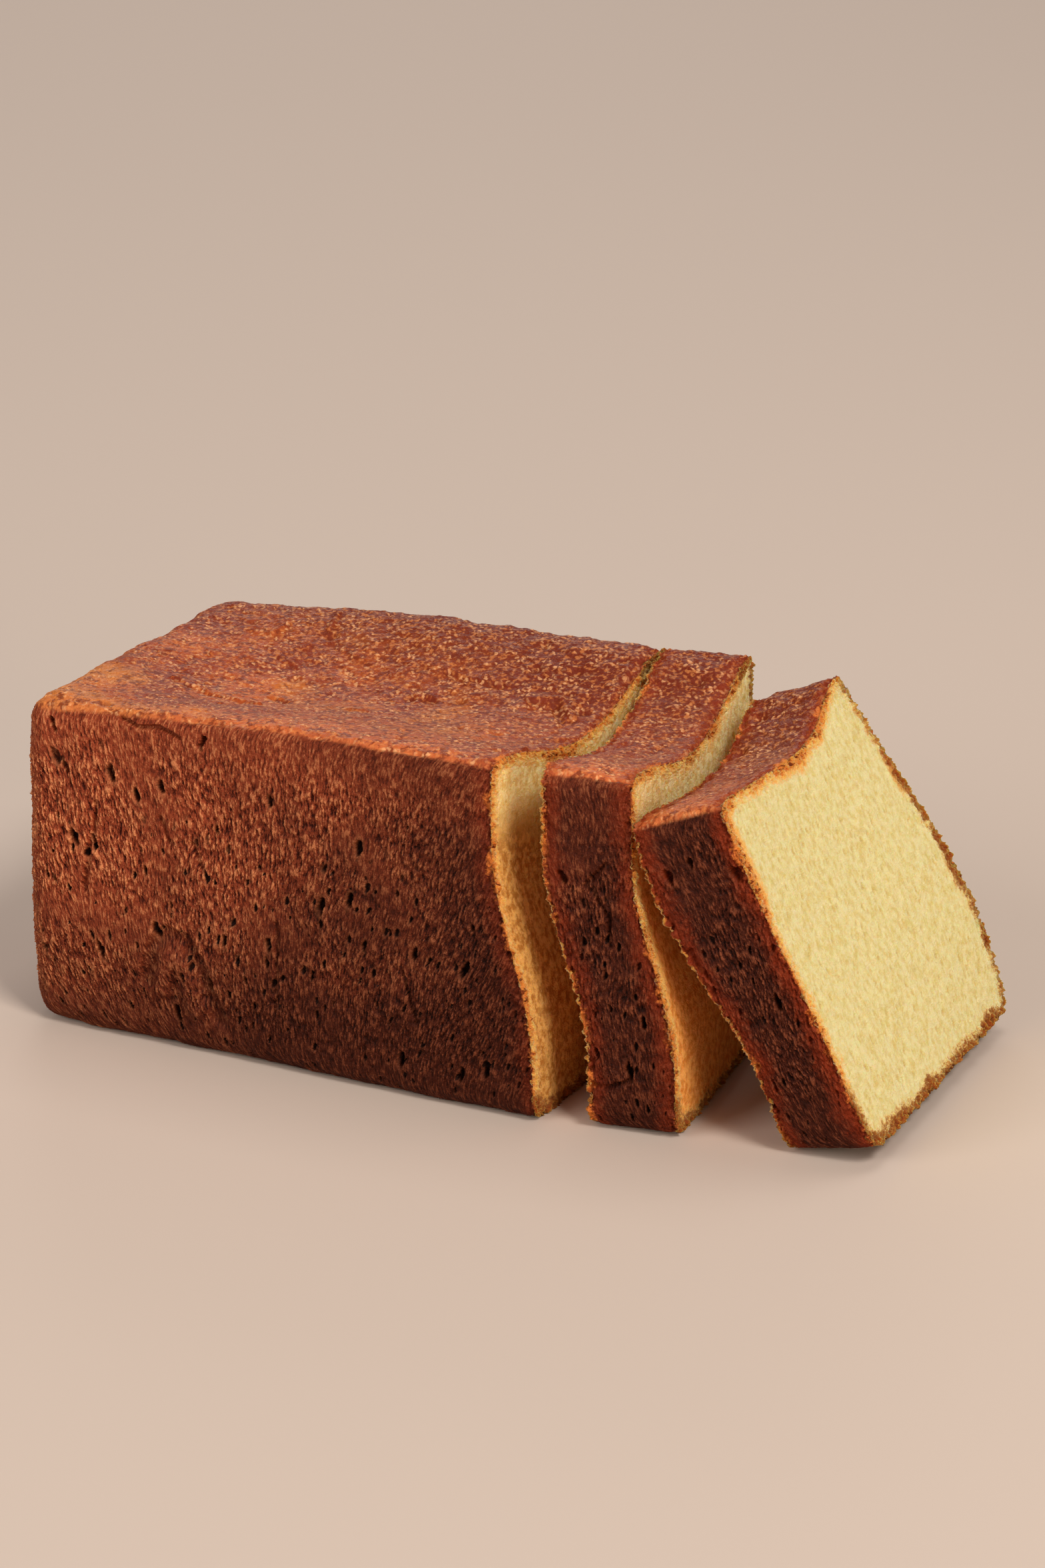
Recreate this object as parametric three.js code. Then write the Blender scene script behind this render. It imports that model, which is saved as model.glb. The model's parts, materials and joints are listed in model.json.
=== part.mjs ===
// A pan-baked brioche loaf, part sliced: the uncut block, a first slice that leans back on it
// and a second slice that leans on the first. Millimetres, +Z up, the loaf's length along +X
// with its closed end towards -X, and the origin under the middle of the whole group.
//
// Each piece starts as a finely divided box. Every vertex has a place in the box: along the loaf,
// across it and up it. bake() carries that place to the loaf's rounded, sunken, slightly crooked
// shape, so the block and both slices come out of one and the same loaf.
import * as THREE from "three";
import { mergeVertices } from "three/addons/utils/BufferGeometryUtils.js";

// The loaf as it left its tin.
const LOAF_HEIGHT = 100; // at the raised long edges of the top
const LOAF_WIDTH = 107;
const TOP_EDGE_RADIUS = 5;
const BASE_EDGE_RADIUS = 6;
const END_RADIUS = 9; // round the closed end, on all of its edges
const END_DROP = 4; // the closed end stands this much lower than the rest
const END_DROP_REACH = 110; // length over which the loaf rises to its full height
const TOP_REACH = 70; // length over which the top takes on its sunken shape
const SIDE_BELLY = 2.2; // how far the long sides swell low down
const BELLY_HEIGHT = 30;
const END_BELLY = 3; // how far the closed end swells

// The cuts. Each runs back towards the closed end on its way up, the later ones less and less.
const BLOCK_LENGTH = 161; // closed end to first cut, along the base
const SLICE_THICKNESS = 24.5;
const LEAN_FROM = 20; // heights between which a bent cut leans
const LEAN_TO = 78;
const FIRST_CUT = {
  lean: 13, // how far the cut's top lies behind its foot
  bend: 1, // 0 for a straight cut, 1 for one that leans only between the heights above
  backSwell: 0, // how far the knife strayed outwards halfway up the back edge
};
const SECOND_CUT = { lean: 12.5, bend: 1, backSwell: 0 };
const THIRD_CUT = { lean: 10.5, bend: 0.3, backSwell: 5 };

// How each piece has settled, and how the slices stand.
const BLOCK_SHAPE = {
  settled: 0, // how much lower the whole piece has sunk
  topSag: 9.5, // how far the top sinks between its long edges
  backEar: 2.2, // how much higher the back edge of the top stands than the front one
  topNarrowing: 0, // how much narrower the top is than the base
  topShift: 0, // how far the top has crept to the back
  topSkew: 0, // how much higher the top is at the right side of a slice
  baseSkew: 0, // how much lower the base is at the right side of a slice
};
const FIRST_SLICE = {
  settled: 0,
  topSag: 9.5,
  backEar: 3,
  topNarrowing: 2,
  topShift: -1,
  topSkew: 0,
  baseSkew: 0,
  tilt: -0.7, // degrees about the loaf's width: negative leans the top back on the block
  yaw: 7, // degrees about the vertical: the slice opens like a door, hinged at the back
  setBack: 4, // sideways shift away from the front
};
const SECOND_SLICE = {
  settled: 3,
  topSag: 2.5,
  backEar: 8,
  topNarrowing: 12,
  topShift: -14,
  topSkew: 1.5,
  baseSkew: 3,
  tilt: -19,
  yaw: 2.5,
  setBack: 13,
};
const SLICE_GAP = 0.4; // clearance where one piece rests on its neighbour

// Divisions of the boxes that the pieces start from.
const BLOCK_STEPS = { along: 28, across: 20, up: 18 };
const SLICE_STEPS = { along: 5, across: 20, up: 18 };

const { clamp, degToRad, lerp, smoothstep } = THREE.MathUtils;

// How far a cut has moved from its line on the base, at a height. across runs from -1 at the front
// to 1 at the back.
function cutShift(cut, across, height) {
  const share = lerp(height / LOAF_HEIGHT, smoothstep(height, LEAN_FROM, LEAN_TO), cut.bend);
  const halfway = Math.sin(Math.PI * clamp(height / LOAF_HEIGHT, 0, 1));
  return cut.backSwell * smoothstep(across, -0.4, 1) * halfway - cut.lean * share;
}

// Makes evenly spaced places from -1 to 1 crowd towards both ends, where the edges are rounded.
function crowdToEdges(t) {
  return t * (1.28 - 0.28 * t * t);
}

// Rounds the corners of a rectangle that stands on zero: a point that lies within the corner's
// radius of two sides moves onto an arc.
function roundCorner(point, halfWidth, height, radiusAt) {
  const radius = radiusAt(point.y > height / 2);
  const inner = new THREE.Vector2(
    clamp(point.x, -halfWidth + radius, halfWidth - radius),
    clamp(point.y, radius, height - radius),
  );
  const out = point.clone().sub(inner);
  if (out.x === 0 || out.y === 0) return point;
  const reach = Math.max(Math.abs(out.x), Math.abs(out.y));
  return inner.add(out.setLength(reach));
}

// A point of the loaf's section: along is millimetres from the closed end, across runs from -1 at
// the front to 1 at the back, up from 0 to 1. Near the closed end the section shrinks on all sides.
function sectionPoint(along, across, up) {
  const height = LOAF_HEIGHT - END_DROP * (1 - smoothstep(along, 0, END_DROP_REACH));
  const halfWidth = LOAF_WIDTH / 2;
  const intoEnd = Math.max(0, END_RADIUS - along);
  const inset = END_RADIUS - Math.sqrt(END_RADIUS ** 2 - intoEnd ** 2);
  const endRounding = END_RADIUS - intoEnd * 0.5 - along * 0.12;
  const radiusAt = (isTop) => Math.max(isTop ? TOP_EDGE_RADIUS : BASE_EDGE_RADIUS, endRounding);

  const onSquare = new THREE.Vector2(
    crowdToEdges(across) * halfWidth,
    (crowdToEdges(up * 2 - 1) + 1) * 0.5 * height,
  );
  const point = roundCorner(onSquare, halfWidth, height, radiusAt);
  point.x *= (halfWidth - inset) / halfWidth;
  point.y = inset + (point.y * (height - 2 * inset)) / height;
  return { point, rise: point.y / height, side: point.x / halfWidth };
}

// The loaf's shape: the section, sunk at the top, swollen at the sides, settled and skewed. share
// is 0 at the left side of a piece and 1 at its right side.
function bake(along, across, up, share, shape) {
  const { point, rise, side } = sectionPoint(along, across, up);
  const towardsTop = rise ** 3;
  const towardsBase = (1 - rise) ** 3;
  const formed = smoothstep(along, 0, TOP_REACH);

  const sag = shape.topSag * formed * (0.5 + 0.5 * Math.cos(Math.PI * side));
  const ear = shape.backEar * formed * smoothstep(side, 0.3, 1);
  const skew = shape.topSkew * share * towardsTop - shape.baseSkew * share * towardsBase;
  const z = point.y - shape.settled * rise + (ear - sag) * towardsTop + skew;

  const belly = SIDE_BELLY * Math.exp(-(((point.y - BELLY_HEIGHT) / BELLY_HEIGHT) ** 2));
  const narrowing = 1 - (shape.topNarrowing / LOAF_WIDTH) * rise;
  const y = (point.x + belly * side) * narrowing + shape.topShift * rise;
  return { y, z };
}

// Bends a box that has been cut into steps: visit gives each of its points a new place. The box
// runs from 0 to 1 along and up, and from -1 to 1 across.
function bendBox(steps, visit) {
  const box = new THREE.BoxGeometry(1, 2, 1, steps.along, steps.across, steps.up);
  const places = box.getAttribute("position");
  for (let i = 0; i < places.count; i++) {
    const place = visit(places.getX(i) + 0.5, places.getY(i), places.getZ(i) + 0.5);
    places.setXYZ(i, place.x, place.y, place.z);
  }
  box.deleteAttribute("normal");
  box.deleteAttribute("uv");
  return mergeVertices(box, 1e-4);
}

// The uncut block. Its steps crowd towards the closed end, and the lean of the cut dies away
// towards it.
function blockGeometry() {
  return bendBox(BLOCK_STEPS, (share, across, up) => {
    const along = BLOCK_LENGTH * share ** 1.35;
    const { y, z } = bake(along, across, up, share, BLOCK_SHAPE);
    const middle = (1 - across ** 2) * (1 - (2 * up - 1) ** 2);
    const swell = END_BELLY * middle * (1 - smoothstep(along, 0, TOP_REACH));
    return { x: along - swell + cutShift(FIRST_CUT, across, z) * share, y, z };
  });
}

// A slice between two cuts. Its own zero is at its left side, on the edge that it stands on.
function sliceGeometry(index, leftCut, rightCut, shape) {
  const start = BLOCK_LENGTH + index * SLICE_THICKNESS;
  return bendBox(SLICE_STEPS, (share, across, up) => {
    const thick = SLICE_THICKNESS * share;
    const { y, z } = bake(start + thick, across, up, share, shape);
    const shift = lerp(cutShift(leftCut, across, z), cutShift(rightCut, across, z), share);
    return { x: thick + shift, y, z };
  });
}

function crustMesh(name, geometry, colour) {
  const material = new THREE.MeshStandardMaterial({ color: colour, roughness: 0.62, metalness: 0 });
  const mesh = new THREE.Mesh(geometry, material);
  mesh.name = name;
  return mesh;
}

// The least value that measure finds among a mesh's points, each given in the group's frame.
function least(mesh, measure) {
  mesh.updateMatrix();
  const places = mesh.geometry.getAttribute("position");
  let value = Infinity;
  for (let i = 0; i < places.count; i++) {
    const point = new THREE.Vector3().fromBufferAttribute(places, i).applyMatrix4(mesh.matrix);
    value = Math.min(value, measure(point));
  }
  return value;
}

// Turns a slice, stands it on the table, and slides it along until the nearest point of its left
// side is SLICE_GAP clear of the cut that it leans on. The cut curves, so it takes a few slides.
function standSlice(slice, shape, neighbour, cutAlong, cut) {
  slice.rotation.set(0, degToRad(shape.tilt), degToRad(shape.yaw), "ZYX");
  slice.position.set(BLOCK_LENGTH + 3 * SLICE_THICKNESS, shape.setBack, 0);
  slice.position.z = -least(slice, (point) => point.z);

  neighbour.updateMatrix();
  const toNeighbour = neighbour.matrix.clone().invert();
  for (let slide = 0; slide < 12; slide++) {
    const clearance = least(slice, (point) => {
      const seen = point.applyMatrix4(toNeighbour);
      return seen.x - cutAlong - cutShift(cut, 0, seen.z);
    });
    slice.position.x -= clearance - SLICE_GAP;
  }
}

const firstSlab = sliceGeometry(0, FIRST_CUT, SECOND_CUT, FIRST_SLICE);
const secondSlab = sliceGeometry(1, SECOND_CUT, THIRD_CUT, SECOND_SLICE);
const block = crustMesh("loaf_block", blockGeometry(), 0x7a4028);
const firstSlice = crustMesh("first_slice", firstSlab, 0x6e3823);
const secondSlice = crustMesh("second_slice", secondSlab, 0x63301f);
standSlice(firstSlice, FIRST_SLICE, block, BLOCK_LENGTH, FIRST_CUT);
standSlice(secondSlice, SECOND_SLICE, firstSlice, SLICE_THICKNESS, SECOND_CUT);

const pieces = new THREE.Group();
pieces.add(block, firstSlice, secondSlice);
const extent = new THREE.Box3().setFromObject(pieces, true);
const middle = extent.getCenter(new THREE.Vector3());
pieces.position.set(-middle.x, -middle.y, -extent.min.z);

const brioche = new THREE.Group();
brioche.add(pieces);
export default brioche;
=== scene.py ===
# %% [markdown]
# # A part-sliced brioche loaf
#
# A square loaf baked in a tin stands on a table. Two slices have been cut from its right end: the
# first leans on the block, and the second leans on the first. The rough shape of the three pieces
# comes from a CAD model. This notebook gives them what makes them bread: a dark, pitted crust, a
# bronze top, and a soft yellow crumb where the knife went through.
#
# Everything is in metres. +Z is up, +X runs along the loaf from its closed end to the slices, and
# +Y runs across it from front to back.

import json
import math

import bmesh
import bpy
import numpy as np
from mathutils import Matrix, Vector

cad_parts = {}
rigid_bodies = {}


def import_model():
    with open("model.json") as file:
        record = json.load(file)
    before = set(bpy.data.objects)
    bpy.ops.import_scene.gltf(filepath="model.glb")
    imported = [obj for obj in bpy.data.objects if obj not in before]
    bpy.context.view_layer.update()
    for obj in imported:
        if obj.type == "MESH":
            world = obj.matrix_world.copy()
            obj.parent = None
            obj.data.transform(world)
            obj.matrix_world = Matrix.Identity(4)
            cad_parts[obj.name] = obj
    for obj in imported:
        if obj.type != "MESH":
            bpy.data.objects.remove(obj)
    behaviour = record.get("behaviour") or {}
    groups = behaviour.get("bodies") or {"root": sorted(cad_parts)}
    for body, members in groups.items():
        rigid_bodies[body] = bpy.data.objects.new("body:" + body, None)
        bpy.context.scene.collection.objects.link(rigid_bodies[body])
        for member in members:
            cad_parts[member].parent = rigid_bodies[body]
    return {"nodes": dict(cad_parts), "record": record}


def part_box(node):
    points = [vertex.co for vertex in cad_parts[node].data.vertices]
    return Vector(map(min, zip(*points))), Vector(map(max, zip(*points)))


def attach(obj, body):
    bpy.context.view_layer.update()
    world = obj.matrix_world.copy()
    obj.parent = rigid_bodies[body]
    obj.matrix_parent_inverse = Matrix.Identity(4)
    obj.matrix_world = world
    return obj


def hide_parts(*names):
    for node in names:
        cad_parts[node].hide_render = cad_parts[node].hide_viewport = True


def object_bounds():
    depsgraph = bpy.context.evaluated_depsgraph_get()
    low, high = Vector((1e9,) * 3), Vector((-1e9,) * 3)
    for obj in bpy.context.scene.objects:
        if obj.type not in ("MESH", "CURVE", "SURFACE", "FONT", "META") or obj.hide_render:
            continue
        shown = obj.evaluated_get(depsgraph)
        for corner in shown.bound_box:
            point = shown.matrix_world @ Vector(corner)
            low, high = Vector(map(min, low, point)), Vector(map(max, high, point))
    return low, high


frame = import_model()
cad_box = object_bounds()
MM = 0.001

for name in sorted(frame["nodes"]):
    low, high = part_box(name)
    print(name, "is", [round(side / MM, 1) for side in high - low], "mm")

# %% [markdown]
# ## The camera first
#
# A camera is easiest to place by where it looks and from which side. The view angle and the height
# are those of someone seated at the table, a little to the right of the loaf. A long lens keeps the
# loaf's edges nearly parallel.

# %% Camera
VIEW_AZIMUTH = math.radians(27.2)
VIEW_ELEVATION = math.radians(19.7)
VIEW_DISTANCE = 1.203
AIM_BACK = 0.0027  # how far behind the loaf's middle the camera looks
AIM_HEIGHT = 0.071
LENS = 99.5

middle = (cad_box[0] + cad_box[1]) / 2
aim = Vector((middle.x, middle.y + AIM_BACK, AIM_HEIGHT))
towards_camera = Vector((
    math.sin(VIEW_AZIMUTH) * math.cos(VIEW_ELEVATION),
    -math.cos(VIEW_AZIMUTH) * math.cos(VIEW_ELEVATION),
    math.sin(VIEW_ELEVATION),
))

camera_data = bpy.data.cameras.new("camera")
camera_data.lens = LENS
camera = bpy.data.objects.new("camera", camera_data)
camera.location = aim + towards_camera * VIEW_DISTANCE
camera.rotation_euler = towards_camera.to_track_quat("Z", "Y").to_euler()
bpy.context.scene.collection.objects.link(camera)
bpy.context.scene.camera = camera
print("camera at", [round(value, 3) for value in camera.location])

# %% [markdown]
# ## Writing recipes as nodes
#
# Bread is all texture, and in Blender a texture is a chain of small nodes: noise, cells, and maths
# between them. Drawn by hand they are easy to read but slow to write. In a script the opposite
# holds, so this small class lets nodes be written like sums: `a * b + 1` makes two maths nodes and
# links them. The same noise and cell nodes exist in materials and in geometry nodes, so one recipe
# can both dent the mesh and colour the dent.

# %% A value that travels along a wire
class Wire:
    """An output socket. Sums with it become maths nodes."""

    def __init__(self, recipe, socket):
        self.recipe = recipe
        self.socket = socket

    def __add__(self, other):
        return self.recipe.maths("ADD", self, other)

    def __sub__(self, other):
        return self.recipe.maths("SUBTRACT", self, other)

    def __rsub__(self, other):
        return self.recipe.maths("SUBTRACT", other, self)

    def __mul__(self, other):
        return self.recipe.maths("MULTIPLY", self, other)

    def __truediv__(self, other):
        return self.recipe.maths("DIVIDE", self, other)

    __radd__ = __add__
    __rmul__ = __mul__


# %% A recipe fills one node tree
class Recipe:
    """Adds nodes to one tree, a material's or a geometry node group's.

    shift moves every texture that the tree looks up, so that pieces don't share their pattern.
    """

    def __init__(self, tree, shift):
        self.tree = tree
        self.shift = shift
        self.in_material = tree.type == "SHADER"

    def node(self, kind, *values, **settings):
        made = self.tree.nodes.new(kind)
        for key, setting in settings.items():
            setattr(made, key, setting)
        for socket, value in zip(made.inputs, values):
            self.feed(socket, value)
        return made

    def feed(self, socket, value):
        if isinstance(value, Wire):
            self.tree.links.new(value.socket, socket)
        elif value is not None:
            socket.default_value = value

    def maths(self, operation, *values):
        return Wire(self, self.node("ShaderNodeMath", *values, operation=operation).outputs[0])

    def vector(self, operation, *values):
        made = self.node("ShaderNodeVectorMath", *values, operation=operation)
        return Wire(self, made.outputs[0])

    def parts(self, vector):
        made = self.node("ShaderNodeSeparateXYZ", vector)
        return [Wire(self, socket) for socket in made.outputs]

    def join(self, x, y, z):
        return Wire(self, self.node("ShaderNodeCombineXYZ", x, y, z).outputs[0])

    def fade(self, value, start, end):
        """0 before start, 1 after end, and a smooth change between them."""
        made = self.node("ShaderNodeMapRange", value, start, end, interpolation_type="SMOOTHSTEP")
        return Wire(self, made.outputs[0])

    def least(self, a, b):
        return self.maths("MINIMUM", a, b)

    def most(self, a, b):
        return self.maths("MAXIMUM", a, b)

    def between(self, share, a, b):
        """a where share is 0, b where it is 1."""
        return share * (b - a) + a

    def attribute(self, name, vector=False):
        """Reads a value that the mesh carries at each of its points."""
        if self.in_material:
            made = self.node("ShaderNodeAttribute", attribute_name=name)
            return Wire(self, made.outputs["Vector" if vector else "Fac"])
        made = self.node("GeometryNodeInputNamedAttribute", name)
        made.data_type = "FLOAT_VECTOR" if vector else "FLOAT"
        return Wire(self, made.outputs["Attribute"])

    def noise(self, place, size, detail=2.0, roughness=0.5):
        """Cloudy noise around 0.5, with lumps of about this size."""
        made = self.node("ShaderNodeTexNoise")
        self.feed(made.inputs["Vector"], self.vector("ADD", place, self.shift))
        made.inputs["Scale"].default_value = 1 / size
        made.inputs["Detail"].default_value = detail
        made.inputs["Roughness"].default_value = roughness
        return Wire(self, made.outputs[0])

    def bumps(self, place, size, height, detail=2.0, roughness=0.5):
        """The same noise as a height: it rises and falls round 0 by up to half of height."""
        return (self.noise(place, size, detail, roughness) - 0.5) * height

    def cells(self, place, size):
        """Distance to the nearest of scattered seeds, and a random number for each seed."""
        made = self.node("ShaderNodeTexVoronoi", voronoi_dimensions="2D")
        self.feed(made.inputs["Vector"], self.vector("ADD", place, self.shift))
        made.inputs["Scale"].default_value = 1 / size
        number = self.parts(Wire(self, made.outputs["Color"]))[0]
        return Wire(self, made.outputs["Distance"]), number

    def blend(self, share, a, b):
        """Mixes two colours: a where share is 0, b where it is 1."""
        made = self.node("ShaderNodeMix", data_type="RGBA")
        self.feed(made.inputs[0], share)
        self.feed(made.inputs[6], colour(a))
        self.feed(made.inputs[7], colour(b))
        return Wire(self, made.outputs[2])


def colour(value):
    """A colour given as a screen colour such as 0x7A4028 becomes the light values Blender mixes."""
    if isinstance(value, Wire):
        return value
    channels = [((value >> shift) & 255) / 255 for shift in (16, 8, 0)]
    linear = [c / 12.92 if c <= 0.04045 else ((c + 0.055) / 1.055) ** 2.4 for c in channels]
    return (*linear, 1.0)


print("recipes are ready")

# %% [markdown]
# ## From CAD solid to a mesh that can be shaped
#
# The CAD pieces are made of triangles with hard corners between them. Three steps make them fit for
# fine work. Doubled points are welded, pairs of triangles become squares, and the faces that the
# knife made are marked. The edge between crust and cut gets a full crease, so that smoothing keeps
# it sharp while the baked edges go round.

# %% Which way each piece stands
CUT_FACING = 0.6  # a face is part of a cut if it faces along the loaf by at least this much
HEAD_FROM = 0.8  # the head of a slice is all above this share of its height,
FOOT_TO = 0.2  # and its foot all below this one


def standing_axes(name):
    """The piece's own directions: along the loaf, across it and up its grain."""
    mesh = frame["nodes"][name].data
    points = np.array([vertex.co for vertex in mesh.vertices])
    height = points[:, 2].max()
    if name == "loaf_block":
        return Vector((1, 0, 0)), Vector((0, 1, 0)), Vector((0, 0, 1))
    head = points[points[:, 2] > HEAD_FROM * height].mean(0)
    foot = points[points[:, 2] < FOOT_TO * height].mean(0)
    up = Vector(head - foot)
    up.y = 0
    up.normalize()
    cut_faces = [face for face in mesh.polygons if face.normal.x > CUT_FACING]
    broad = sum((face.normal * face.area for face in cut_faces), Vector())
    across = up.cross(broad).normalized()
    return across.cross(up).normalized(), across, up


for name in sorted(frame["nodes"]):
    lean = math.degrees(math.asin(standing_axes(name)[2].x))
    print(name, "leans", round(lean, 1), "degrees")


# %% Weld, make squares, mark the cuts
WELD_DISTANCE = 0.001 * MM


def cage(name):
    """A light mesh of squares with the cut faces marked and their edges creased.

    inner marks the cuts that face another piece across a gap.
    """
    along = standing_axes(name)[0]
    mesh = bpy.data.meshes.new(name + "_cage")
    shape = bmesh.new()
    shape.from_mesh(frame["nodes"][name].data)
    bmesh.ops.remove_doubles(shape, verts=shape.verts, dist=WELD_DISTANCE)
    bmesh.ops.join_triangles(
        shape, faces=shape.faces, angle_face_threshold=math.pi, angle_shape_threshold=math.pi
    )
    cut = shape.faces.layers.float.new("cut")
    inner = shape.faces.layers.float.new("inner")
    crease = shape.edges.layers.float.new("crease_edge")
    for face in shape.faces:
        facing = face.normal.dot(along)
        is_cut = facing > CUT_FACING or (facing < -CUT_FACING and name != "loaf_block")
        face[cut] = float(is_cut)
        face[inner] = float(is_cut and not (name == "second_slice" and facing > 0))
    for edge in shape.edges:
        sides = {face[cut] for face in edge.link_faces}
        edge[crease] = float(len(sides) == 2)
    shape.to_mesh(mesh)
    print(name, len(shape.faces), "faces,", sum(face[cut] for face in shape.faces), "of them cut")
    shape.free()
    for layer in list(mesh.attributes):
        if layer.name in ("sharp_edge", "sharp_face", "custom_normal"):
            mesh.attributes.remove(layer)
    return mesh


cages = {name: cage(name) for name in sorted(frame["nodes"])}

# %% [markdown]
# ## The relief of the side crust
#
# While the dough rises against the tin it drags its bubbles upwards, so the sides are covered in
# fine upright strands that fan out towards the top. Here and there a bubble has burst and left a
# dark hole. Two textures make all of it: noise for what is uneven, and scattered seeds for bubbles.
# The place where a texture is looked up is squeezed in height, which stretches the pattern upright.

# %% Where the strands run
CLOSED_END = -82.5  # millimetres along the loaf, from the block's middle
LOAF_WIDTH = 107.0
FAN_CENTRE = -45.0  # millimetres round the loaf to where the strands stand upright
FAN_REACH = 80.0  # beyond this distance from the centre, they lean no further
FAN = 0.0058  # how fast they spread, per millimetre of height
TURN = 25.0  # across the closed end, the way round the loaf turns within this distance


def upright(r, place, squeeze):
    """A flat place to look textures up in: round the loaf, and squeezed in height."""
    x, y, z = r.parts(place)
    facing = r.fade(y, TURN, -TURN) * 2 - 1
    around = (x - CLOSED_END) * facing - y + CLOSED_END - LOAF_WIDTH
    fanned = r.most(r.least(around - FAN_CENTRE, FAN_REACH), -FAN_REACH)
    lean = z * FAN / (z * FAN + 1)
    wander = r.bumps(place, 16, 2.5, 1)
    return r.join(around - fanned * lean + wander, z * squeeze, 0.0)


# %% Burst bubbles
BUBBLE_SQUEEZE = 0.36
NO_BUBBLES_ABOVE = 92  # millimetres up the side
ALL_BUBBLES_BELOW = 74


def burst_bubbles(r, place, spacing, share, radius):
    """1 inside a hole and 0 outside, and the same for the thin lip round it, which also gets a painted
    highlight.

    A seed stands every spacing millimetres or so. share says how many of the seeds burst.
    """
    spot = upright(r, place, BUBBLE_SQUEEZE)
    distance, number = r.cells(spot, spacing)
    ragged = r.bumps(spot, 0.8, 0.8 / spacing)
    low_enough = r.fade(r.parts(place)[2], NO_BUBBLES_ABOVE, ALL_BUBBLES_BELOW)
    chosen = r.fade(number, 1 - share, 1.01 - share) * low_enough
    reach = r.fade(number, 0.9 - share, 1.0) * (radius / spacing)
    hole = r.fade(distance + ragged, reach, reach * 0.6) * chosen
    lip_and_highlight = r.fade(distance + ragged, reach * 1.6, reach * 1.15) * chosen * (1 - hole)
    return hole, lip_and_highlight


# %% The whole side
STRAND_WIDTH, STRAND_SQUEEZE = 0.47, 0.17
CLUMP_WIDTH, CLUMP_SQUEEZE = 2.0, 0.34
GRAIN_CONTRAST = 8
GRAIN_HEIGHT = 0.62
BIG_BUBBLES = {"spacing": 6.0, "share": 0.5, "radius": 1.1}
SMALL_BUBBLES = {"spacing": 2.3, "share": 0.44, "radius": 0.58}
SMALL_SHIFT = (31.0, 0.0, 17.0)  # keeps small bubbles from following the big ones
BIG_DEPTH = 2.4
SMALL_DEPTH = 1.2
LIP_HEIGHT = 0.12


def side_grain(r, place):
    """How much the strands stand out, from about 0 to 1, and where they are calm."""
    height = r.parts(place)[2]
    strands = r.noise(upright(r, place, STRAND_SQUEEZE), STRAND_WIDTH, 3, 0.7)
    clumps = r.noise(upright(r, place, CLUMP_SQUEEZE), CLUMP_WIDTH)
    grain = (strands * 0.75 + clumps * 0.25 - 0.5) * GRAIN_CONTRAST + 0.5
    near_edges = r.most(r.fade(height, 80, 93), r.fade(height, 17, 7))
    calm = r.most(near_edges, r.fade(r.noise(place, 26), 0.5, 0.64)) * 0.62
    return grain, calm


def side_relief(r, place):
    """Height of the side crust in millimetres, and the fields that its colour needs."""
    grain, calm = side_grain(r, place)
    big, big_lip = burst_bubbles(r, place, **BIG_BUBBLES)
    small, small_lip = burst_bubbles(r, r.vector("ADD", place, SMALL_SHIFT), **SMALL_BUBBLES)
    hole = r.most(big, small)
    lip_and_highlight = r.most(big_lip, small_lip)
    crust = (grain - 0.5) * (1 - calm) * GRAIN_HEIGHT + r.bumps(place, 22, 2.2)
    relief = crust - big * BIG_DEPTH - small * SMALL_DEPTH + lip_and_highlight * LIP_HEIGHT
    return relief, grain, calm, hole, lip_and_highlight


# %% [markdown]
# ## The relief of the top
#
# The top never touched the tin. It rose free, browned, and sank again as the loaf cooled, so it
# waves gently, wrinkles here and there, and carries the fleck of every bubble that reached its skin.

# %% The top
FLECK_SPACING = 1.25
FLECK_JITTER = 1.8  # keeps the flecks from standing in rows
FLECK_HEIGHT = 0.16
DENT_SPACING = 13
DENT_DEPTH = 0.8


def top_relief(r, place):
    """Height of the top crust in millimetres, its flecks and its dents."""
    x, y, _ = r.parts(place)
    flat = r.join(x, y, 0.0)
    slanted = r.join(x * 0.75 + y * 0.4, y * 0.7 - x * 0.2, 0.0)
    swell = r.bumps(flat, 27, 3.2, 2, 0.45)
    lumps = r.bumps(flat, 8, 1.5)
    wrinkles = r.bumps(slanted, 3.1, 1.2)
    grit = r.bumps(flat, 0.9, 0.35)
    jitter = r.join(r.bumps(flat, 1.2, FLECK_JITTER, 1), r.bumps(flat, 1.6, FLECK_JITTER, 1), 0.0)
    seeds, chance = r.cells(r.vector("ADD", slanted, jitter), FLECK_SPACING)
    flecks = r.fade(seeds, 0.46, 0.12) * r.fade(chance, 0.25, 0.95)
    hollows, number = r.cells(flat, DENT_SPACING)
    dents = r.fade(hollows, 0.22, 0.02) * r.fade(number, 0.7, 0.8)
    height = swell + lumps + wrinkles + grit + flecks * FLECK_HEIGHT - dents * DENT_DEPTH
    return height, flecks, dents


# %% [markdown]
# ## The relief of a cut
#
# A knife leaves soft crumb almost flat, with tiny pores. Only the last few millimetres before the
# crust are dry enough to tear into crumbs. So the relief is small in the middle and grows towards
# the rim.

# %% Crumb
TORN_RIM = 3.2  # millimetres of torn crumb next to the crust
TORN_HEIGHT = 6.5
PORE_SPACING = 2.2
PORE_DEPTH = 0.4


def crumb_relief(r, place, rim):
    """Height of the cut in millimetres, and its pores. rim is the distance from the crust."""
    x, y, z = r.parts(place)
    seeds, number = r.cells(r.join(y + x, z * 0.6, 0.0), PORE_SPACING)
    pores = r.fade(seeds, 0.42, 0.1) * r.fade(number, 0.55, 0.9)
    fluff = r.bumps(place, 1.5, 0.8, 3, 0.6)
    swell = r.bumps(place, 17, 1.3)
    torn = r.bumps(place, 2.2, TORN_HEIGHT, 3, 0.72) * r.fade(rim, TORN_RIM + 2.5, 1)
    return swell + fluff - pores * PORE_DEPTH + torn, pores


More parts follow.
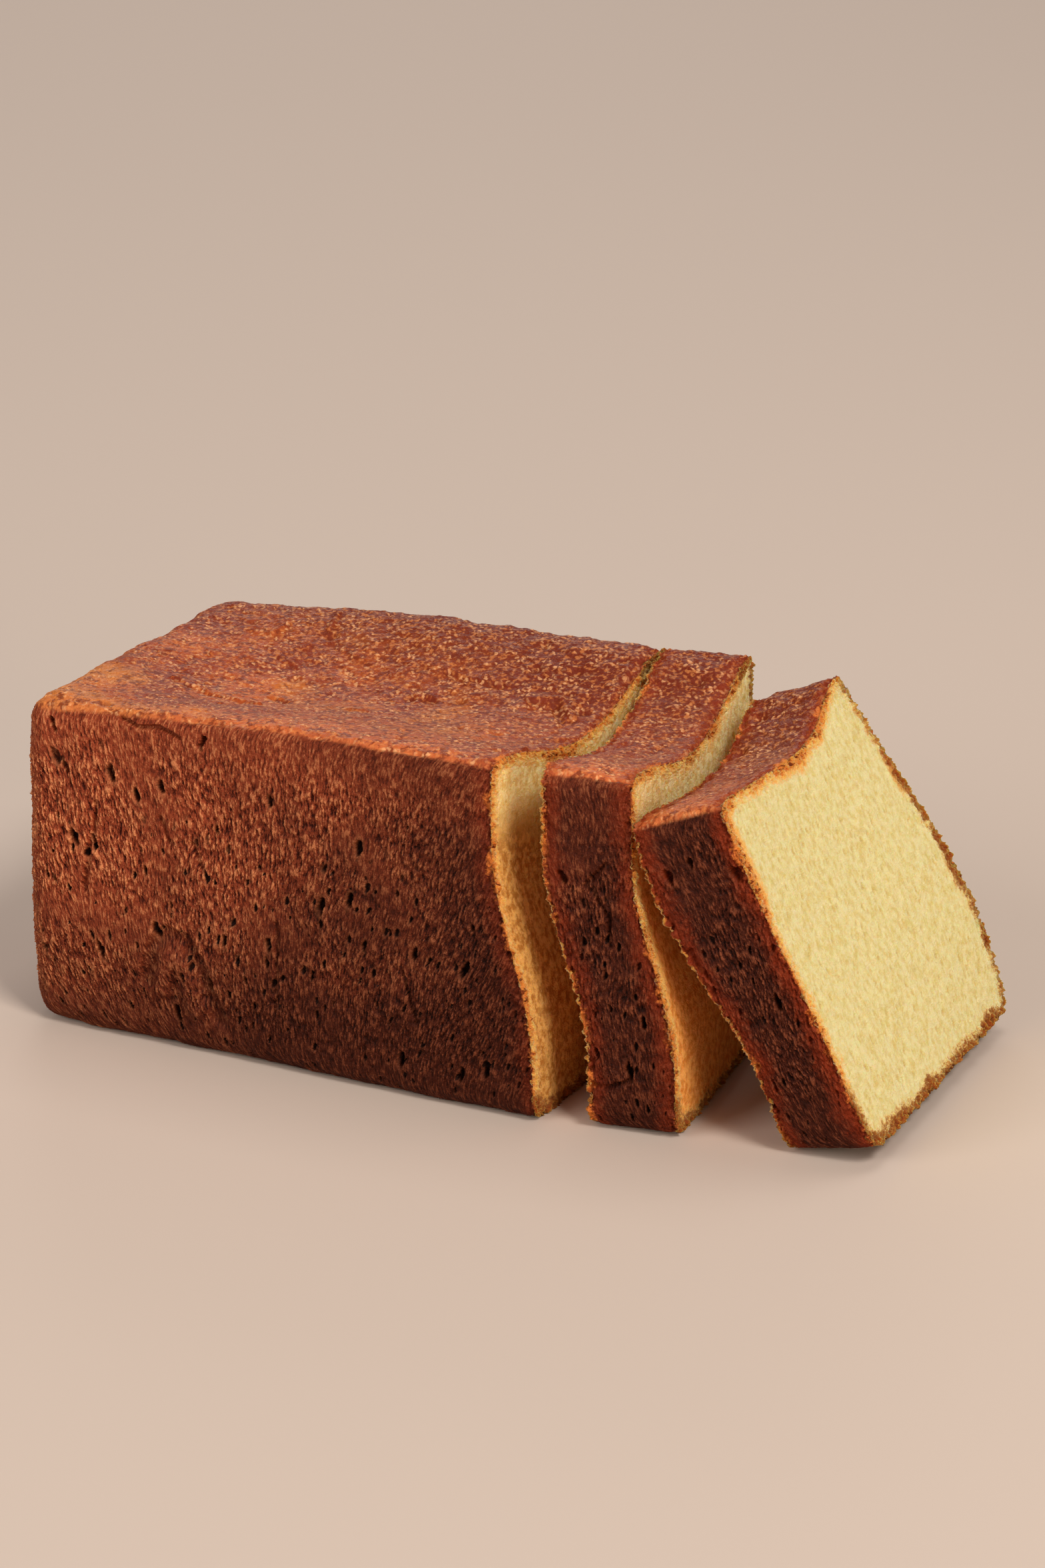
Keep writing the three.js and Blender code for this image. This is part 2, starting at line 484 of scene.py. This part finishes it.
# %% [markdown]
# ## Scars
#
# Some marks are too particular for a texture: a crack where the top pulled away from the side, an
# arch where the dough folded in the tin, a few slanted gashes. They are drawn as lines of a few
# points each, in millimetres on a flat picture of the front or of the top. Each kind has a width
# and a depth; a negative depth stands out from the crust.

# %% Lines drawn on each piece
BLOCK_SCARS = [
    ("front", 1.0, 2.1, [[(-69, 91), (-67, 88)], [(-65, 80), (-63, 77)], [(-19, 93), (-20, 90)]]),
    ("front", 0.9, 1.5, [[(-46, 95), (-40, 93), (-33, 94), (-27, 92)], [(43, 37), (45, 29), (47, 23)]]),
    ("front", 1.2, 1.3, [[(-54, 69), (-54, 64), (-56, 56), (-57, 49), (-58, 43)]]),
    ("front", 1.1, 1.3, [[(4, 44), (4, 31), (3, 18)], [(-33, 68), (-30, 61)], [(-23, 62), (-20, 56)]]),
    ("front", 3.2, 1.6, [[(-38, 20), (-36, 30), (-31, 35), (-25, 34), (-21, 27), (-15, 12)]]),
    ("front", 4.0, -1.6, [[(-33, 18), (-30, 28), (-26, 27), (-22, 14)]]),
    ("top", 1.3, -0.8, [[(-31, 37), (-33, 46)], [(-46, 30), (-44, 36)]]),
    ("top", 1.5, 0.9, [[(15, 23), (22, 21), (33, 21)], [(47, 13), (52, 16), (58, 9)]]),
    ("top", 2.2, 0.8, [[(-25, -6), (-21, -7)], [(2, -10), (6, -9)], [(15, 9), (18, 8)]]),
    ("top", 1.6, -0.9, [[(-52, -14), (-38, -17), (-20, -22)], [(44, 17), (52, 20), (60, 12)]]),
]
FIRST_SLICE_SCARS = [
    ("front", 1.2, 2.4, [[(-3, 72), (-2, 70)]]),
    ("front", 1.0, 1.3, [[(10, 74), (4, 69), (9, 60), (8, 52)], [(-9, 14), (2, 12), (9, 14)]]),
]
SECOND_SLICE_SCARS = [
    ("front", 0.9, 2.2, [[(-11, 96), (-4, 94), (3, 95), (8, 92)]]),
    ("front", 1.2, 1.4, [[(2, 54), (8, 56), (9, 50)]]),
]
SCARS = {
    "loaf_block": BLOCK_SCARS,
    "first_slice": FIRST_SLICE_SCARS,
    "second_slice": SECOND_SLICE_SCARS,
}
# Scars get painted shade, darker the deeper they are.
FULL_SHADE_DEPTH = 2.4  # a scar this deep is as dark as a hole; shallower ones are much lighter


def scar_lines(lines):
    """Loose edges through the points of each line, as a mesh to measure distances to."""
    points = []
    edges = []
    for line in lines:
        edges += [(len(points) + i, len(points) + i + 1) for i in range(len(line) - 1)]
        points += [(a, b, 0) for a, b in line]
    mesh = bpy.data.meshes.new("scar")
    mesh.from_pydata(points, edges, [])
    return bpy.data.objects.new("scar", mesh)


def scar_relief(r, name, place, lid):
    """Depth of all scars in millimetres, and the painted shade that darkens the deeper ones.

    Lines on the front show only on the side crust that faces the front, those on the top only there.
    """
    x, y, z = r.parts(place)
    wobble = r.bumps(place, 4, 2.4)
    flat = {"front": r.join(x + wobble, z, 0.0), "top": r.join(x, y + wobble, 0.0)}
    shown = {"front": r.fade(y, -32, -42) * (1 - lid), "top": lid}
    depth = dark = shown["top"] * 0.0
    for side, width, deep, lines in SCARS[name]:
        source = r.node("GeometryNodeObjectInfo")
        source.inputs["Object"].default_value = scar_lines(lines)
        near = r.node("GeometryNodeProximity", target_element="EDGES")
        r.feed(near.inputs[0], Wire(r, source.outputs["Geometry"]))
        r.feed(near.inputs["Sample Position"], flat[side])
        groove = r.fade(Wire(r, near.outputs["Distance"]), width, width * 0.25) * shown[side]
        depth = depth + groove * deep
        # Sunken scars get painted shade, darker the deeper they are.
        if deep > 0:
            dark = r.most(dark, groove * min(1.0, (deep / FULL_SHADE_DEPTH) ** 3))
    return depth, dark


for name, scars in SCARS.items():
    print(name, "has", sum(len(lines) for *_, lines in scars), "scars")

# %% [markdown]
# ## Shaping with geometry nodes
#
# A geometry nodes modifier can read a texture at every point of a mesh and push the point along its
# normal. It runs in seconds on a million points, where a loop in Python would take minutes. It also
# stores what the materials need to know later: the place of each point in the piece's own
# directions, how far it is from the rim of a cut, whether it belongs to the top, and how much
# painted shade the scar it lies in gets.

# %% Small helpers for geometry trees
def store(r, geometry, name, value, vector=False):
    """Writes a value on every point, and returns the geometry that carries it."""
    made = r.node("GeometryNodeStoreNamedAttribute", geometry)
    made.data_type = "FLOAT_VECTOR" if vector else "FLOAT"
    made.domain = "POINT"
    made.inputs["Name"].default_value = name
    slot = next(s for s in made.inputs if s.name == "Value" and s.enabled)
    r.feed(slot, value)
    return Wire(r, made.outputs[0])


def along_axis(r, vector, axis):
    """How far a vector reaches along an axis."""
    made = r.node("ShaderNodeVectorMath", vector, tuple(axis), operation="DOT_PRODUCT")
    return Wire(r, made.outputs["Value"])


# %% Distance to the rim of the cut
def rim_distance(r, geometry):
    """Millimetres to the nearest edge between crust and cut: positive on the cut."""
    cut = r.attribute("cut")
    on_edge = r.fade(r.maths("ABSOLUTE", cut - 0.5), 0.4, 0.3)
    rim = r.node("GeometryNodeSeparateGeometry", geometry, domain="EDGE")
    r.feed(rim.inputs["Selection"], on_edge)
    near = r.node("GeometryNodeProximity", target_element="EDGES")
    r.feed(near.inputs[0], Wire(r, rim.outputs[0]))
    side = r.fade(cut, 0.45, 0.55) * 2 - 1
    return Wire(r, near.outputs["Distance"]) * side * (1 / MM)


# %% The relief of the whole piece
CHIPPED_RIM = 3.5  # millimetres of chipped crust next to a cut
CHIP_HEIGHT = 5.5
# Each piece looks its textures up in a different place, so that no two have the same pits.
PATTERN_SHIFT = {
    "loaf_block": (0.0, 0.0, 0.0),
    "first_slice": (300.0, 40.0, 0.0),
    "second_slice": (640.0, 90.0, 0.0),
}


def whole_relief(r, name):
    """Height of the surface in metres, from what is stored on the mesh, and the painted shade of its
    scars.
    """
    place = r.attribute("spot", vector=True)
    rim = r.attribute("rim")
    lid = r.attribute("lid")
    side = side_relief(r, place)[0]
    top = top_relief(r, place)[0]
    crumb = crumb_relief(r, place, rim)[0]
    depth, scar_shade = scar_relief(r, name, place, lid)
    crust = r.between(lid, side, top) - depth
    chips = (r.noise(place, 2.0, 3, 0.72) - 0.6) * CHIP_HEIGHT
    chipped = chips * r.fade(rim, -CHIPPED_RIM, -0.5)
    return r.between(r.fade(rim, -0.6, 0.6), crust + chipped, crumb) * MM, scar_shade


# %% The modifier
def shaping_tree(name):
    """The node group that gives one piece its relief."""
    tree = bpy.data.node_groups.new("shape_" + name, "GeometryNodeTree")
    tree.interface.new_socket("Geometry", in_out="INPUT", socket_type="NodeSocketGeometry")
    tree.interface.new_socket("Geometry", in_out="OUTPUT", socket_type="NodeSocketGeometry")
    r = Recipe(tree, PATTERN_SHIFT[name])
    geometry = Wire(r, r.node("NodeGroupInput").outputs[0])
    position = Wire(r, r.node("GeometryNodeInputPosition").outputs[0])
    normal = Wire(r, r.node("GeometryNodeInputNormal").outputs[0])

    along, across, up = standing_axes(name)
    low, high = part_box(name)
    foot = Vector(((low.x + high.x) / 2, (low.y + high.y) / 2, 0))
    from_foot = r.vector("SUBTRACT", position, tuple(foot))
    spot = r.join(*[along_axis(r, from_foot, axis) * (1 / MM) for axis in (along, across, up)])
    facing = along_axis(r, normal, up) + r.bumps(spot, 5, 0.35)

    geometry = store(r, geometry, "rim", rim_distance(r, geometry))
    geometry = store(r, geometry, "spot", spot, vector=True)
    geometry = store(r, geometry, "lid", r.fade(facing, 0.5, 0.75))
    height, scar_shade = whole_relief(r, name)
    geometry = store(r, geometry, "scar", scar_shade)

    push = r.node("ShaderNodeVectorMath", normal, operation="SCALE")
    r.feed(push.inputs["Scale"], height)
    moved = r.node("GeometryNodeSetPosition", geometry)
    r.feed(moved.inputs["Offset"], Wire(r, push.outputs[0]))
    x, y, z = r.parts(Wire(r, r.node("GeometryNodeInputPosition").outputs[0]))
    grounded = r.node("GeometryNodeSetPosition", Wire(r, moved.outputs[0]))
    r.feed(grounded.inputs["Position"], r.join(x, y, r.most(z, 0.0)))
    r.feed(r.node("NodeGroupOutput").inputs[0], Wire(r, grounded.outputs[0]))
    return tree


# %% Bake the shape into each mesh
SMOOTH_STEPS = 4


def shaped_piece(name):
    """Smooths the cage, runs the modifier and keeps the result as a plain mesh."""
    draft = bpy.data.objects.new(name + "_draft", cages[name])
    bpy.context.scene.collection.objects.link(draft)
    smooth = draft.modifiers.new("smooth", "SUBSURF")
    smooth.levels = SMOOTH_STEPS
    shape = draft.modifiers.new("shape", "NODES")
    shape.node_group = shaping_tree(name)
    graph = bpy.context.evaluated_depsgraph_get()
    ready = draft.evaluated_get(graph)
    mesh = bpy.data.meshes.new_from_object(ready, preserve_all_data_layers=True, depsgraph=graph)
    mesh.name = name + "_bread"
    mesh.shade_smooth()
    bpy.data.objects.remove(draft)
    piece = bpy.data.objects.new(name + "_bread", mesh)
    bpy.context.scene.collection.objects.link(piece)
    print(piece.name, "has", len(mesh.polygons), "faces")
    return piece


pieces = {name: shaped_piece(name) for name in cages}
for line in [thing for thing in bpy.data.objects if thing.name.startswith("scar")]:
    bpy.data.objects.remove(line)

# %% [markdown]
# ## A flat map of each piece
#
# To carry its colours outside Blender, a piece needs a map that spreads its surface out flat. Bread
# is nearly a box, so its six sides are laid side by side: every face goes to the side it faces most.
# The places stored before the relief was added keep that map tidy, with no face upside down.

# %% Six charts
MAP_GAP = 4.0  # millimetres between two charts
CHART_AXES = [(1, 2), (0, 2), (1, 0)]  # which directions a chart shows, for each way it can face


def read(items, field, width=1, kind=np.int32):
    """One number, or width numbers, from each item of a mesh, in one quick read."""
    numbers = np.empty(len(items) * width, dtype=kind)
    items.foreach_get(field, numbers)
    return numbers if width == 1 else numbers.reshape(-1, width)


def chart_of_corners(mesh, spots):
    """For each corner of a face: which direction its face shows most, and whether it faces ahead."""
    corners = read(mesh.loops, "vertex_index")
    starts = read(mesh.polygons, "loop_start")
    counts = read(mesh.polygons, "loop_total")
    first, second, third = (spots[corners[starts + i]] for i in range(3))
    last = spots[corners[starts + counts - 1]]
    facing = np.cross(third - first, last - second)
    way = np.abs(facing).argmax(1)
    ahead = np.take_along_axis(facing, way[:, None], 1)[:, 0] > 0
    return np.repeat(way, counts), np.repeat(ahead, counts)


def lay_out(mesh):
    """Adds the map: three rows of two charts, one row for each of the piece's directions."""
    spots = read(mesh.attributes["spot"].data, "vector", 3, np.float32)
    spots -= spots.min(0)
    size = spots.max(0)
    faced_way, ahead = chart_of_corners(mesh, spots)
    at_corner = spots[read(mesh.loops, "vertex_index")]
    flat = np.empty((len(at_corner), 2), dtype=np.float32)
    row_start = MAP_GAP
    for way, (u, v) in enumerate(CHART_AXES):
        chosen = faced_way == way
        flat[chosen, 0] = at_corner[chosen, u] + MAP_GAP + ahead[chosen] * (size[u] + MAP_GAP)
        flat[chosen, 1] = at_corner[chosen, v] + row_start
        row_start += size[v] + MAP_GAP
    wide = 2 * size[:2].max() + 3 * MAP_GAP
    layer = mesh.uv_layers.new(name="OFBake", do_init=False)
    layer.uv.foreach_set("vector", (flat / max(wide, row_start)).ravel())


for piece in pieces.values():
    lay_out(piece.data)
    print(piece.name, "has the map", piece.data.uv_layers[0].name)

# %% [markdown]
# ## Crust and crumb
#
# One material serves a whole piece of bread, because crust and crumb have no border: the brown of
# the crust goes through orange and gold into the pale yellow of the middle. The distance from the
# rim, stored on the mesh, drives that change. The same recipes that dented the mesh are read again
# here, so the painted shade of every pit lies exactly in its hole.

# %% Colours of the side crust
# Each pair is a colour where the crust is lightly toasted and where it is dark.
BROWN = (0x944025, 0x42180B)
LIGHT_STRANDS = (0xDA8858, 0x783E26)
DARK_STRANDS = (0x42140A, 0x1E0803)
# Painted shade: the near-black put inside holes and deep scars.
HOLE_SHADE = 0x200B05
# Towards the base the darkening is partly painted shade.
TOAST_ALONG, TOAST_AND_SHADE_DOWN = 0.7, 0.65  # how fast the crust darkens towards the cuts and the base
TOAST_PATCHES = 110  # how much it varies from patch to patch
TOAST_RANGE = (-46, 88)


def side_colour(r, place, beyond):
    """Redder and lighter high at the closed end, nearly black brown low beside the cuts; low down the
    darkening is partly painted shade.

    beyond is added to the place along the loaf, because the slices come from its darker end.
    """
    _, grain, calm, hole, lip_and_highlight = side_relief(r, place)
    x, _, z = r.parts(place)
    patches = r.noise(place, 24, 3)
    # Painted shade: the crust darkens close to the table.
    low = r.fade(z, 38, 4) * 36
    towards_dark = (x + beyond) * TOAST_ALONG - z * TOAST_AND_SHADE_DOWN + patches * TOAST_PATCHES + low
    toast_and_shade = r.fade(towards_dark, *TOAST_RANGE)
    brown = r.blend(toast_and_shade, *BROWN)
    light = r.blend(toast_and_shade, *LIGHT_STRANDS)
    dark = r.blend(toast_and_shade, *DARK_STRANDS)
    lively = 1 - calm * 0.5
    grained = r.blend(r.fade(grain, 0.55, 1.3) * lively, brown, light)
    grained = r.blend(r.fade(grain, 0.42, -0.3) * lively, grained, dark)
    # A painted highlight lightens the lip round each hole.
    grained = r.blend(lip_and_highlight * 0.3, grained, light)
    # Inside each hole the colour is painted shade.
    return r.blend(hole, grained, HOLE_SHADE)


# %% Colours of the top
BRONZE = (0x8C3414, 0xB4521E)
GOLDEN = 0xC87830
# Painted sheen: the rosy colour along the front of the top.
ROSY_SHEEN = 0xC8683A
DEEP_BROWN = 0x6A220C
RED_BROWN = 0x6A2410
DUSTY = 0xD88446
FLECK_TAN = 0xE8A670


def top_colour(r, place, beyond):
    """Bronze with red and golden clouds and tan flecks, a rosy painted sheen in front, and painted
    shade at the back.
    """
    _, flecks, dents = top_relief(r, place)
    x, y, _ = r.parts(place)
    flaky = r.fade(x, 0, -45) * r.fade(y, -36, -50)
    bronze = r.blend(r.fade(r.noise(place, 22, 3), 0.36, 0.66), *BRONZE)
    golden = r.blend(r.fade(r.noise(place, 40, 3) + flaky * 0.2, 0.54, 0.72) * 0.8, bronze, GOLDEN)
    # Painted sheen: the front of the top turns rosy.
    front_sheen = r.blend(r.fade(y + r.noise(place, 18) * 30, -15, -42) * 0.7, golden, ROSY_SHEEN)
    # Painted shade darkens the back of the top; the same brown also deepens towards the cut end.
    deep = r.blend(r.fade(y + (x + beyond) * 0.25, -10, 50) * 0.9, front_sheen, DEEP_BROWN)
    clouds = r.fade(r.noise(place, 2.6, 3, 0.62), 0.52, 0.38) * 0.75
    # Red-brown clouds, and painted shade in the dents.
    clouds_and_dent_shade = r.blend(r.most(dents * 0.5, clouds), deep, RED_BROWN)
    dusty = r.blend(r.fade(r.noise(place, 1.3), 0.5, 0.66) * 0.5, clouds_and_dent_shade, DUSTY)
    shown_flecks = flecks * r.fade(r.noise(place, 9), 0.25, 0.55) * 0.75
    return r.blend(shown_flecks, dusty, FLECK_TAN)


# %% Colours of the cut
# Each pair is a colour and a deeper one that mottles it.
CRUMB = (0xE2D69E, 0xD3BC74)
# Painted light: lighter crumb for cuts that face a gap.
LIT_GAP_CRUMB = (0xFFE6A0, 0xE6B462)
# Painted shade deep in each gap; the first slice's brighter orange is a painted glow.
AMBER_GAP_SHADE = {
    "loaf_block": (0xD8984A, 0x9C5A1C),
    "first_slice": (0xFFA04A, 0xD87426),
    "second_slice": (0xD8984A, 0x9C5A1C),
}
# Painted shade: darker yellow in each pore.
PORE_SHADE_YELLOW = 0xBC9440
GOLDEN_RIM = 0xE8AC5C
ORANGE_RIM = 0xCC7A38
BROWN_CRUMBS = 0x6A3016


def inner_crumb(r, name, place, rim):
    """The soft middle of a cut. On cuts facing a gap: painted light near the top, amber painted shade
    lower down.
    """
    _, pores = crumb_relief(r, place, rim)
    x, y, z = r.parts(place)
    inner = r.attribute("inner")
    soft = r.noise(r.join(x, y, z * 0.8), 2.0, 4, 0.66)
    pale = r.blend(r.fade(soft, 0.36, 0.72), *CRUMB)
    # The pores get painted shade.
    pale = r.blend(pores * 0.28, pale, PORE_SHADE_YELLOW)
    # Painted light lifts the crumb on cuts that face a gap.
    pale = r.blend(inner * 0.85, pale, r.blend(r.fade(soft, 0.4, 0.62), *LIT_GAP_CRUMB))
    top_sag = r.fade(r.maths("ABSOLUTE", y), 50, 8) * 9
    # Lower in a gap, amber painted shade takes over.
    shaded = inner * r.fade(z + top_sag + (soft - 0.5) * 30, 91, 74)
    gap_shade = r.blend(r.fade(soft, 0.38, 0.62), *AMBER_GAP_SHADE[name])
    return r.blend(shaded * 0.88, pale, gap_shade)


def crumb_colour(r, name, place, rim):
    """Pale yellow, and near the crust gold, then torn orange and brown crumbs."""
    _, y, z = r.parts(place)
    pale = inner_crumb(r, name, place, rim)
    wide = r.fade(r.noise(place, 15, 1), 0.42, 0.66) * 2.6
    crumbs = r.noise(place, 1.3, 3, 0.7)
    ragged = rim - wide + (crumbs - 0.5) * 7
    golden = r.blend(r.fade(ragged, 4.5, 1.4), pale, GOLDEN_RIM)
    orange = r.blend(r.fade(ragged, 1.8, 0.0), golden, ORANGE_RIM)
    back_or_base = r.most(r.fade(y + z * 0.13, 45.5, 51), r.fade(z, 11, 6))
    outer = back_or_base * r.fade(ragged, 3.6, 1.6)
    specks = r.fade(crumbs, 0.48, 0.4) * r.fade(ragged, 0.6, -1.0)
    return r.blend(r.most(specks, outer * 0.8), orange, BROWN_CRUMBS)


# %% The colour of a whole piece
# BEYOND is added to the place along the loaf before the browning is worked out, in millimetres.
# GLOW says how strongly the crust shows red next to a cut.
BEYOND = {"loaf_block": 0.0, "first_slice": 78.0, "second_slice": 105.0}
GLOW = {"loaf_block": 0.25, "first_slice": 0.45, "second_slice": 0.65}
RED_GLOW = 0x8A2E10
ORANGE_EDGE = 0xD87834


def bread_colour(r, name, place, lid, rim, on_cut):
    """The colour of a whole piece. Next to a cut the crust glows through in red and orange."""
    beyond = BEYOND[name]
    crust = r.blend(lid, side_colour(r, place, beyond), top_colour(r, place, beyond))
    # Painted shade in the scars, from the stored scar layer.
    crust = r.blend(r.attribute("scar") * 0.85, crust, HOLE_SHADE)
    near = rim + r.bumps(place, 1.2, 7, 3, 0.7) + r.bumps(place, 9, 7, 1)
    crust = r.blend(r.fade(near, -7.0, -1.5) * GLOW[name], crust, RED_GLOW)
    patchy = r.fade(r.noise(place, 8), 0.4, 0.58) * 0.7 + 0.2
    crust = r.blend(r.fade(near, -1.2, 0.6) * patchy, crust, ORANGE_EDGE)
    return r.blend(on_cut, crust, crumb_colour(r, name, place, rim))


# %% Gloss and the finest grain
SIDE_GLOSS, TOP_GLOSS = 0.09, 0.13
SIDE_ROUGHNESS, TOP_ROUGHNESS, CUT_ROUGHNESS = 0.5, 0.42, 0.9
LIGHT_REACH = 8 * MM  # how far light travels inside the crumb
REACH_BY_COLOUR = (1.0, 0.55, 0.22)  # red light goes furthest
GRAIN_DEPTH = 0.4 * MM


def roughness(r, place, lid, on_cut):
    """Matt crumb, and crust that is glossier in small patches."""
    glints = r.fade(r.noise(place, 0.9), 0.62, 0.72) * 0.25
    crust = r.between(lid, SIDE_ROUGHNESS, TOP_ROUGHNESS) + r.bumps(place, 3, 0.4, 3) - glints
    return r.between(on_cut, crust, CUT_ROUGHNESS)


def fine_grain(r, place, lid, on_cut):
    """The normals of grain too fine for the mesh: strands on the sides and grit everywhere."""
    strands = r.noise(upright(r, place, 0.25), 0.5, 3, 0.68) * (1 - lid) * (1 - on_cut)
    grit = strands * 2.4 + r.noise(place, 0.55) * (1 + on_cut * 1.5)
    bump = r.node("ShaderNodeBump")
    bump.inputs["Strength"].default_value = 1.0
    bump.inputs["Distance"].default_value = GRAIN_DEPTH
    r.feed(bump.inputs["Height"], grit)
    return Wire(r, bump.outputs[0])


def bread_material(name):
    """The whole look of one piece."""
    material = bpy.data.materials.new(name + "_crust_and_crumb")
    material.use_nodes = True
    tree = material.node_tree
    tree.nodes.clear()
    r = Recipe(tree, PATTERN_SHIFT[name])
    place = r.attribute("spot", vector=True)
    rim = r.attribute("rim")
    lid = r.attribute("lid")
    on_cut = r.fade(rim, -0.3, 0.3)

    shader = tree.nodes.new("ShaderNodeBsdfPrincipled")
    r.feed(shader.inputs["Base Color"], bread_colour(r, name, place, lid, rim, on_cut))
    r.feed(shader.inputs["Roughness"], roughness(r, place, lid, on_cut))
    gloss = r.between(lid, SIDE_GLOSS, TOP_GLOSS) * (1 - on_cut * 0.5)
    r.feed(shader.inputs["Specular IOR Level"], gloss)
    r.feed(shader.inputs["Subsurface Weight"], on_cut * 0.75)
    shader.inputs["Subsurface Radius"].default_value = REACH_BY_COLOUR
    shader.inputs["Subsurface Scale"].default_value = LIGHT_REACH
    r.feed(shader.inputs["Normal"], fine_grain(r, place, lid, on_cut))
    output = tree.nodes.new("ShaderNodeOutputMaterial")
    tree.links.new(shader.outputs[0], output.inputs["Surface"])
    return material


# %% Dress each piece
for name, piece in pieces.items():
    piece.data.materials.clear()
    piece.data.materials.append(bread_material(name))
    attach(piece, "root")
    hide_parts(name)
    slot = next(part["material_slot"] for part in frame["record"]["subparts"] if part["node"] == name)
    print(piece.name, "stands for", name)

# %% [markdown]
# ## Table and light
#
# The table is one big plain sheet. The light is that of a studio, from five soft lamps:
#
# - the window, high at the right, shines on the cut slice and down into the gaps;
# - the ceiling, above and behind, brings out the bumps of the top;
# - the fill, a wide one at the front left, lets the dark side keep its detail;
# - the sheen, low behind the loaf to the left, makes the top crust gleam;
# - the card, low at the right and warm, lifts the foot of the cut, as a sheet of paper would.
#
# The air itself is nearly dark, so the gaps between the slices stay deep.

# %% Table
TABLE_SIZE = 40.0
TABLE_COLOUR = 0xC9B6A8


def make_table():
    """One big plain sheet, far larger than the picture."""
    half = TABLE_SIZE / 2
    corners = [(-half, -half, 0), (half, -half, 0), (half, half, 0), (-half, half, 0)]
    mesh = bpy.data.meshes.new("table")
    mesh.from_pydata(corners, [], [(0, 1, 2, 3)])
    table = bpy.data.objects.new("table", mesh)
    bpy.context.scene.collection.objects.link(table)
    material = bpy.data.materials.new("table_plaster")
    material.use_nodes = True
    shader = material.node_tree.nodes["Principled BSDF"]
    shader.inputs["Base Color"].default_value = colour(TABLE_COLOUR)
    shader.inputs["Roughness"].default_value = 0.85
    mesh.materials.append(material)


make_table()
print("the table is", TABLE_SIZE, "m wide")

# %% Lamps
# Name, place in metres, size in metres, power in watts, colour.
LAMPS = [
    ("window", (2.3, -1.3, 3.0), 1.1, 90, (1.0, 0.98, 0.94)),
    ("ceiling", (0.0, 0.9, 3.6), 1.8, 30, (1.0, 0.97, 0.93)),
    ("fill", (-1.8, -3.4, 2.0), 2.2, 84, (1.0, 0.96, 0.93)),
    ("sheen", (-1.6, 2.8, 1.5), 1.2, 14, (1.0, 0.97, 0.95)),
    ("card", (1.9, -0.9, 0.5), 0.8, 18, (1.0, 0.8, 0.6)),
]
AIR_COLOUR = (1.0, 0.96, 0.93, 1.0)
AIR_STRENGTH = 0.2


def lamp(name, place, size, power, tint):
    """A square soft lamp that points at the loaf."""
    data = bpy.data.lights.new(name, "AREA")
    data.shape = "SQUARE"
    data.size = size
    data.energy = power
    data.color = tint
    item = bpy.data.objects.new(name, data)
    item.location = Vector(place)
    item.rotation_euler = (item.location - middle).to_track_quat("Z", "Y").to_euler()
    bpy.context.scene.collection.objects.link(item)


for settings in LAMPS:
    lamp(*settings)

world = bpy.data.worlds.new("studio")
world.use_nodes = True
world.node_tree.nodes["Background"].inputs["Color"].default_value = AIR_COLOUR
world.node_tree.nodes["Background"].inputs["Strength"].default_value = AIR_STRENGTH
bpy.context.scene.world = world
bpy.context.scene.view_settings.view_transform = "Standard"
print("lit by", len(LAMPS), "lamps")
